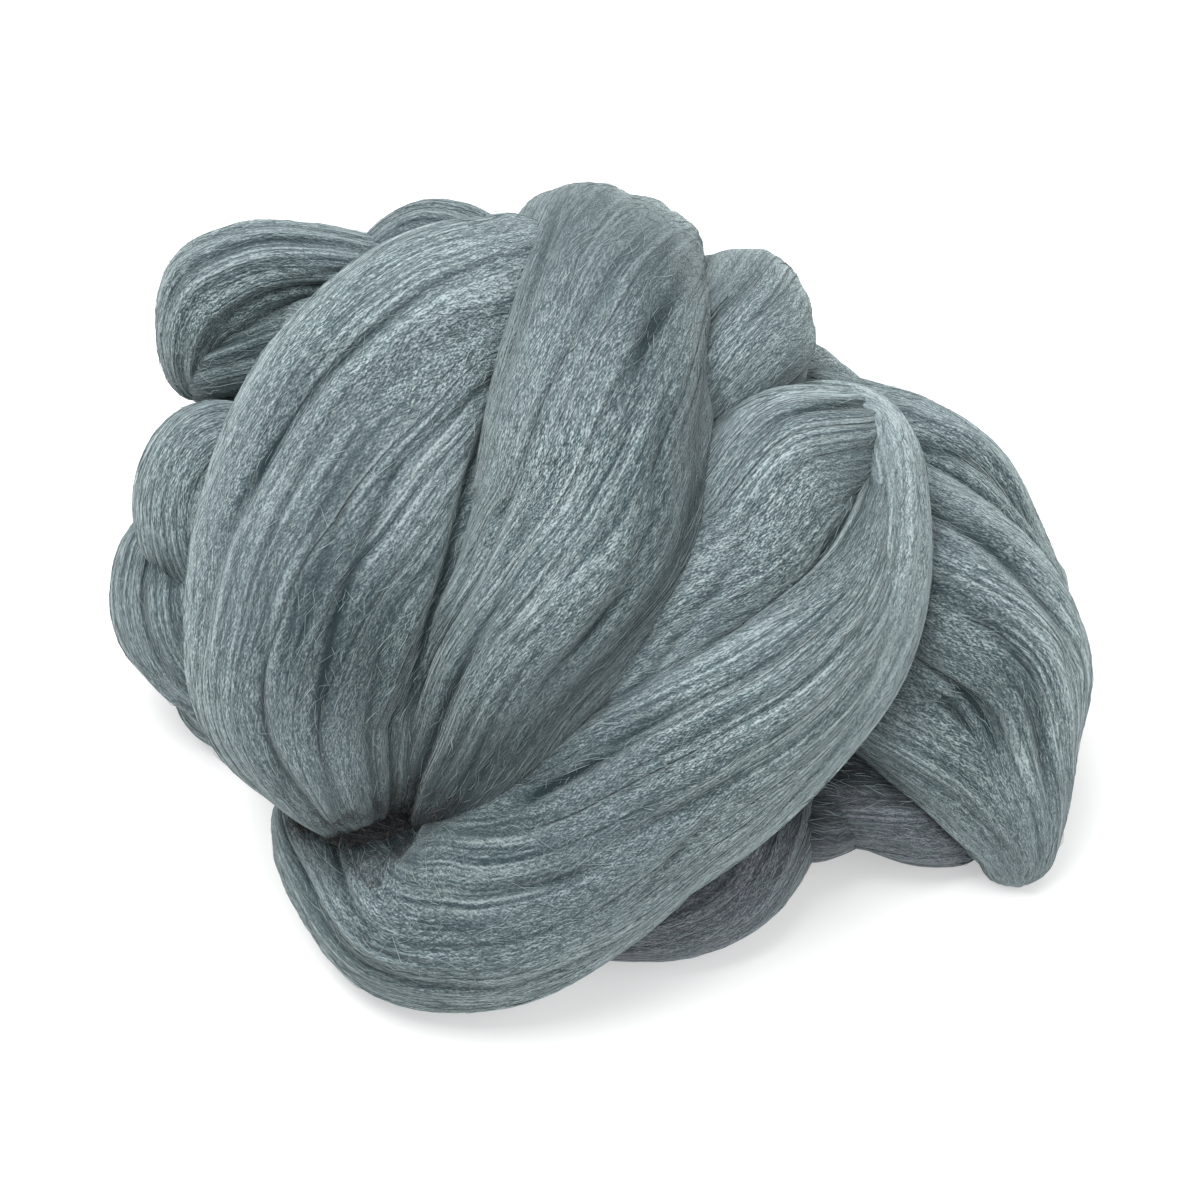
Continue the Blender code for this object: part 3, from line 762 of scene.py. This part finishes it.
add_fold("back_left_fold", [
    (-34, 40, 88, 30, 24), (-50, 58, 78, 44, 30), (-62, 68, 58, 52, 34), (-63, 66, 38, 48, 32),
    (-52, 60, 20, 38, 26), (-34, 54, 8, 26, 18),
], [
    Trough(74, 82, 0.12, 0.90, 2.8, 9), Trough(110, 104, 0.18, 0.90, 2.6, 9),
], Lay(60), grey_teal, seed=28, sides=130, rings=48, upright=True)
add_fold("back_right_fold", [
    (22, 28, 80, 34, 26), (34, 47, 63, 41, 30), (47, 59, 47, 48, 34), (56, 61, 34, 48, 32),
    (56, 50, 16, 38, 26), (50, 38, 6, 26, 18),
], [
    Trough(70, 78, 0.12, 0.90, 2.6, 9), Trough(108, 100, 0.18, 0.90, 2.8, 9),
], Lay(-60), grey_teal, seed=29, sides=130, rings=48, upright=True)
add_fold("right_back_loop", [
    (54, 6, 60, 32, 30), (77, 18, 50, 40, 33), (88, 35, 34, 42, 34), (84, 50, 22, 36, 30),
    (66, 54, 12, 26, 22),
], [
    Trough(92, 88, 0.15, 0.85, 2.4, 10),
], Lay(40), grey_teal, seed=30, sides=130, rings=44, upright=True)
add_fold("back_wrap", [
    (-90, 2, 10, 22, 22), (-92, 30, 14, 30, 28), (-72, 62, 20, 38, 30), (-36, 82, 27, 44, 30),
    (2, 86, 30, 46, 30), (38, 80, 26, 44, 30), (70, 62, 18, 38, 30), (90, 34, 13, 30, 28),
    (92, 6, 10, 22, 22),
], [
    Trough(74, 84, 0.10, 0.92, 2.8, 9), Trough(108, 100, 0.14, 0.88, 2.4, 9),
], Lay(90), grey_teal, seed=31, sides=110, rings=96, upright=True)
add_fold("back_foot", [
    (-66, 58, 9, 20, 18), (-34, 76, 10, 24, 20), (2, 80, 10, 26, 20), (36, 74, 10, 24, 20),
    (64, 58, 9, 20, 18),
], [], Lay(40), grey_teal, seed=32, sides=80, rings=60, upright=True)


# ----------------------------------------
# The shade between the folds. Wool is full of air, so light that enters near the foot of a fold is
# lost in its neighbours. Each fold's points carry how far the others shut them in, and their colour is
# darkened with it: painted shade.

SHUT_IN_REACH = 26 * MM    # how near another fold has to be
SHUT_IN_RAYS = 28
SHUT_IN_TURNS, SHUT_IN_STEPS = 48, 40
SHUT_IN_SHARES = (0.02, 0.98)      # the shares of a fold's length between which it is looked up
SHUT_IN_SHADE = 0.68
SHUT_IN_START = 1.6        # how far off the fold the rays start, in millimetres, clear of its own locks

corners, faces = [], []
for _, piece in folds.values():
    base = len(corners)
    corners += [vertex.co.copy() for vertex in piece.data.vertices]
    faces += [[i + base for i in face.vertices] for face in piece.data.polygons]
wool_surface = BVHTree.FromPolygons(corners, faces)


def unit(vectors):
    return vectors / np.maximum(np.linalg.norm(vectors, axis=-1, keepdims=True), 1e-12)


def surface_axes(fold, angles, shares, stand_off):
    """Points off a fold's surface, with the unit vectors round it, along it and outwards from it."""
    points = fold.place(angles, shares, stand_off)[0]
    around = fold.place(angles + 0.5, shares)[0] - fold.place(angles - 0.5, shares)[0]
    forward = fold.place(angles, shares + 0.004)[0] - fold.place(angles, shares - 0.004)[0]
    outward = unit(np.cross(forward, around))
    away = fold.place(angles, shares, stand_off + 1.0)[0] - points
    outward *= np.sign(np.sum(outward * away, axis=-1, keepdims=True) + 1e-9)
    around = unit(np.cross(forward, outward))
    return points, around, np.cross(outward, around), outward


def shut_in_rays():
    """Directions spread over the half of a ball round +Z, closer together towards its middle."""
    part = (np.arange(SHUT_IN_RAYS) + 0.5) / SHUT_IN_RAYS
    turn = np.arange(SHUT_IN_RAYS) * math.pi * (3 - math.sqrt(5))
    return np.stack([np.sqrt(part) * np.cos(turn), np.sqrt(part) * np.sin(turn), np.sqrt(1 - part)], 1)


def shade_between_folds(fold, piece):
    angles, shares = np.meshgrid(
        np.arange(SHUT_IN_TURNS) * 360.0 / SHUT_IN_TURNS, np.linspace(*SHUT_IN_SHARES, SHUT_IN_STEPS),
        indexing="ij",
    )
    points, around, along, outward = surface_axes(fold, angles, shares, SHUT_IN_START)
    shut = np.zeros_like(angles)
    for x, y, z in shut_in_rays():
        ways = x * around + y * along + z * outward
        for i, j in np.ndindex(*shut.shape):
            distance = wool_surface.ray_cast(Vector(points[i, j]), Vector(ways[i, j]), SHUT_IN_REACH)[3]
            if distance is not None:
                shut[i, j] += (1 - distance / SHUT_IN_REACH) / SHUT_IN_RAYS
    turn, share = ring_turns[piece.name]
    turned = (outer_angle(turn) % 360.0) / 360.0 * SHUT_IN_TURNS
    first, last = SHUT_IN_SHARES
    step = np.clip((share - first) / (last - first), 0.0, 1.0) * (SHUT_IN_STEPS - 1)
    a, b = turned.astype(int), np.minimum(step.astype(int), SHUT_IN_STEPS - 2)
    u, v = turned - a, step - b
    a, c = a % SHUT_IN_TURNS, (a + 1) % SHUT_IN_TURNS
    read = ((shut[a, b] * (1 - v) + shut[a, b + 1] * v) * (1 - u)
            + (shut[c, b] * (1 - v) + shut[c, b + 1] * v) * u)
    value = (read * SHUT_IN_SHADE).astype(np.float32)
    piece.data.attributes.new("shut_in", "FLOAT", "POINT").data.foreach_set("value", value)


for fold, piece in folds.values():
    shade_between_folds(fold, piece)


# ----------------------------------------
# The loose fibres. Combed wool has no twist to hold it, so single fibres and thin strands lie on
# every fold, nearly along its lay, and some spring off it and make its outline soft.

Fibres = namedtuple("Fibres", "rings length stray_deg sway turns lift")
LYING = Fibres(4, (2.2, 7.0), 17.0, 0.20, 0.8, (0.02, 0.24))
CURLED = Fibres(9, (3.0, 7.0), 45.0, 0.6, 1.5, (0.10, 0.6))
MATTED = Fibres(7, (2.5, 7.0), 70.0, 0.8, 1.4, (0.2, 3.2))

FIBRE_SIDES = 3
FIBRE_RADIUS = (0.045, 0.078)      # real ones are 0.01 mm or so, which is too fine to show here
FIBRE_AREA = 3.8           # the surface that goes with each fibre, in square millimetres
SHORT_ONES = 1.4           # above 1, so that short fibres are commoner than long ones
DARK_ONES = 1.3            # above 1, so that dark fibres are commoner than pale ones
SPRUNG_SHARE = 0.04        # the share of the fibres that spring off the fold
SPRUNG_STRAY_DEG = 24.0    # how far they stray from the lay, and how much higher they stand
SPRUNG_LIFT = (0.2, 0.9)
OFF_THE_FOLD = 0.4 * MM    # where a fibre starts to look outwards
OFF_THE_FLOOR = 0.2 * MM
CLEAR_OF_WOOL = 60 * MM    # how far a fibre looks outwards for a fold that would hide it
FACING_DOWN = -0.30        # the outward slope past which the wool is out of sight
BEHIND_AREA = 7.0          # the same as FIBRE_AREA, for the folds behind
BEHIND = ("back_", "right_back_", "crown_tuck")


def fibre_material(name, deep, pale):
    """Single merino fibres: paler than the mass of wool, because light passes through them."""
    material = clear_material(name)
    tone = node(material, "ShaderNodeAttribute", attribute_name="tone")
    colour = node(material, "ShaderNodeValToRGB", [(tone.outputs["Fac"], "Fac")])
    colour.color_ramp.elements[0].color = linear(deep)
    colour.color_ramp.elements[1].color = linear(pale)
    return finish_wool(material, colour, sheen=0.25)


def straight_fibre(rings):
    """One fibre as a thin three-sided rod of even rings: its points as (ring, side), and its faces."""
    deselect()
    bpy.ops.mesh.primitive_cylinder_add(vertices=FIBRE_SIDES, radius=1.0, depth=1.0)
    rod = bpy.context.object
    bpy.ops.object.mode_set(mode="EDIT")
    for i in range(1, rings - 1):
        bpy.ops.mesh.select_all(action="SELECT")
        bpy.ops.mesh.bisect(plane_co=(0, 0, i / (rings - 1) - 0.5), plane_no=(0, 0, 1))
    bpy.ops.object.mode_set(mode="OBJECT")
    ring = [round((v.co.z + 0.5) * (rings - 1)) for v in rod.data.vertices]
    round_it = [math.atan2(v.co.y, v.co.x) for v in rod.data.vertices]
    faces = [list(p.vertices) for p in rod.data.polygons]
    bpy.data.objects.remove(rod)
    return np.array(ring), np.array(round_it), faces


def lies_open(point, outward):
    """Whether a point just off a fold is outside every other fold, so that a fibre there is seen."""
    start = Vector(point + outward * OFF_THE_FOLD)
    hit, normal, _, _ = wool_surface.ray_cast(start, Vector(outward), CLEAR_OF_WOOL)
    return hit is None or normal.dot(Vector(outward)) < 0.0


def fibre_paths(fold, count, chance, kind, span, sector):
    """The points, outward directions and radii of fibres laid at random on a fold."""
    share = chance.uniform(*span, count)
    angle = chance.uniform(*sector, count)
    length = between(kind.length, chance.random(count) ** SHORT_ONES)
    sprung = chance.random(count) < SPRUNG_SHARE
    stray = chance.normal(0.0, kind.stray_deg, count)
    stray += sprung * chance.normal(0.0, SPRUNG_STRAY_DEG, count)
    sway = chance.normal(0.0, kind.sway, count) * (1 + sprung)
    phase = chance.uniform(0.0, FULL_TURN, count)
    lift = between(kind.lift, chance.random(count)) + sprung * chance.uniform(*SPRUNG_LIFT, count)
    radius = between(FIBRE_RADIUS, chance.random(count))

    t = np.linspace(-0.5, 0.5, kind.rings)[None, :]
    stray = np.radians(stray)[:, None]
    wave = sway[:, None] * np.sin(FULL_TURN * kind.turns * t + phase[:, None])
    aside = length[:, None] * np.sin(stray) * t + wave * np.cos(stray)
    ahead = length[:, None] * np.cos(stray) * t - wave * np.sin(stray)
    shares = np.clip(share[:, None] + ahead / fold.length, 0.0, 1.0)
    strand = fold.strand(angle, share)[:, None] + np.degrees(aside * 2 * math.pi / fold.girth)
    angles = fold.angle_of(strand, shares)
    bow = (1 - 4 * t * t) * (0.6 + 0.4 * np.sin(FULL_TURN * 0.8 * t + phase[:, None] * 2))
    points, _, _, outward = surface_axes(fold, angles, shares, lift[:, None] * bow)
    return points, outward, radius


def lay_fibres(name, fold, seed, area, material, kind=LYING, span=(0.01, 0.99), sector=(-60.0, 240.0)):
    """Lays one fibre on each area, in square millimetres, along a span of the fold's length."""
    chance = np.random.default_rng(seed)
    part = (span[1] - span[0]) * (sector[1] - sector[0]) / 300.0
    wanted = int(fold.length * fold.girth * part / area)
    points, outward, radius = fibre_paths(fold, wanted, chance, kind, span, sector)
    middle = kind.rings // 2
    kept = [i for i in range(wanted)
            if outward[i, middle, 2] > FACING_DOWN
            and lies_open(points[i, middle], outward[i, middle])
            and points[i, :, 2].min() > OFF_THE_FLOOR]
    if not kept:
        return
    ring, side, rod_faces = rods[kind.rings]
    points, outward, radius = points[kept], outward[kept], radius[kept]
    forward = unit(np.gradient(points, axis=1))
    sideways = unit(np.cross(forward, outward))
    outward = np.cross(sideways, forward)
    taper = 1 - 0.6 * np.abs(np.linspace(-1, 1, kind.rings)) ** 3
    thick = (radius[:, None] * taper[None, :] * MM)[:, ring, None]
    rounds = (np.cos(side)[None, :, None] * outward[:, ring]
              + np.sin(side)[None, :, None] * sideways[:, ring])
    verts = points[:, ring] + rounds * thick
    size = len(ring)
    faces = [[i + base for i in face]
             for base in range(0, len(kept) * size, size) for face in rod_faces]
    mesh = bpy.data.meshes.new(name)
    mesh.from_pydata(verts.reshape(-1, 3).tolist(), [], faces)
    tone = mesh.attributes.new("tone", "FLOAT", "POINT")
    tones = np.repeat(chance.random(len(kept)) ** DARK_ONES, size)
    tone.data.foreach_set("value", tones.astype(np.float32))
    mesh.shade_smooth()
    mesh.materials.append(material)
    piece = bpy.data.objects.new(name, mesh)
    bpy.context.scene.collection.objects.link(piece)
    belongs(piece)


pale_fibre = fibre_material("merino_fibre", "#435255", "#9dabac")
# Dark fibres for the pinch and the folds drawn in there: their darkness is painted shade.
pinch_shade_fibre = fibre_material("merino_fibre_painted_shade", "#19181b", "#615c5d")
rods = {kind.rings: straight_fibre(kind.rings) for kind in (LYING, CURLED, MATTED)}
for number, (name, (fold, _)) in enumerate(folds.items()):
    area = BEHIND_AREA if name.startswith(BEHIND) else FIBRE_AREA
    lay_fibres("loose_fibres_" + name, fold, 100 + number, area, pale_fibre)

# Curly ends stand up where the sliver is drawn in or turned under: the fold, the shares of its length
# and the angles round it that they lie between, the surface for each fibre, its material and kind.
for number, (name, start, end, sector, area, material, kind) in enumerate([
    ("pinch", 0.05, 0.95, (-60, 240), 7.0, pale_fibre, CURLED),
    ("left_front", 0.80, 0.97, (-60, 240), 14.0, pale_fibre, CURLED),
    ("front_loop_rim", 0.74, 0.92, (-60, 240), 16.0, pale_fibre, CURLED),
    ("back_left_tuck", 0.15, 0.95, (-60, 240), 9.0, pale_fibre, CURLED),
    ("back_left_loop", 0.70, 0.98, (-60, 240), 12.0, pale_fibre, CURLED),
    ("pinch", 0.02, 0.98, (10, 170), 0.8, pinch_shade_fibre, MATTED),
    ("left_front", 0.83, 0.93, (60, 150), 2.5, pinch_shade_fibre, MATTED),
    ("crown", 0.04, 0.13, (80, 150), 3.0, pinch_shade_fibre, MATTED),
    ("front_loop_rim", 0.82, 0.90, (50, 100), 3.0, pinch_shade_fibre, MATTED),
]):
    lay_fibres("%s_ends_%s" % ("matted" if kind is MATTED else "curled", name), folds[name][0],
               300 + number, area, material, kind, (start, end), sector)


# ----------------------------------------
# The stage: a plain pale surface, soft light from the upper left and a paler fill from the right, and
# a camera that looks down on the bundle at the photograph's angle.

CAMERA_DISTANCE = 0.9
FRAME_WIDTH = 0.276        # what the frame spans at the middle of the bundle
SENSOR_WIDTH = 36.0
FLOOR_DROP = 0.0002        # how far the floor is under the wool's flat face

bundle_middle = Vector((PLANE_ORIGIN + BOX_SHIFT) * MM)
towards_camera = Vector((0.0, -math.cos(LEAN), math.sin(LEAN)))


def look_at(thing, place, target):
    thing.location = place
    thing.rotation_euler = (Vector(target) - Vector(place)).to_track_quat("-Z", "Y").to_euler()


def add_light(name, place, size, power, colour):
    light = bpy.data.lights.new(name, "AREA")
    light.size = size
    light.energy = power
    light.color = linear(colour)[:3]
    lamp = bpy.data.objects.new(name, light)
    bpy.context.scene.collection.objects.link(lamp)
    look_at(lamp, place, bundle_middle)


deselect()
bpy.ops.mesh.primitive_plane_add(size=6.0, location=(0.0, 0.0, -FLOOR_DROP))
floor = bpy.context.object
floor.name = "floor"
paper = clear_material("white_paper")
paper_shader = node(paper, "ShaderNodeBsdfPrincipled", Base_Color=linear("#cccccc"), Roughness=0.9,
                    Emission_Color=linear("#ffffff"), Emission_Strength=0.42)
node(paper, "ShaderNodeOutputMaterial", [(paper_shader, "Surface")])
floor.data.materials.append(paper)

add_light("key", (-0.30, 0.00, 1.15), 0.8, 18.0, "#ffffff")
add_light("fill", (0.8, -0.6, 0.9), 0.9, 5.0, "#ffffff")
add_light("rim", (0.3, 1.0, 0.6), 0.8, 4.0, "#ffffff")

world = bpy.data.worlds.new("studio")
world.use_nodes = True
world.node_tree.nodes["Background"].inputs["Color"].default_value = linear("#ffffff")
world.node_tree.nodes["Background"].inputs["Strength"].default_value = 0.48
bpy.context.scene.world = world
bpy.context.scene.view_settings.view_transform = "Standard"

lens = bpy.data.cameras.new("photo_angle")
lens.sensor_width = SENSOR_WIDTH
lens.lens = SENSOR_WIDTH * CAMERA_DISTANCE / FRAME_WIDTH
lens.clip_start = 0.01
camera = bpy.data.objects.new("photo_angle", lens)
bpy.context.scene.collection.objects.link(camera)
look_at(camera, bundle_middle + towards_camera * CAMERA_DISTANCE, bundle_middle)
bpy.context.scene.camera = camera
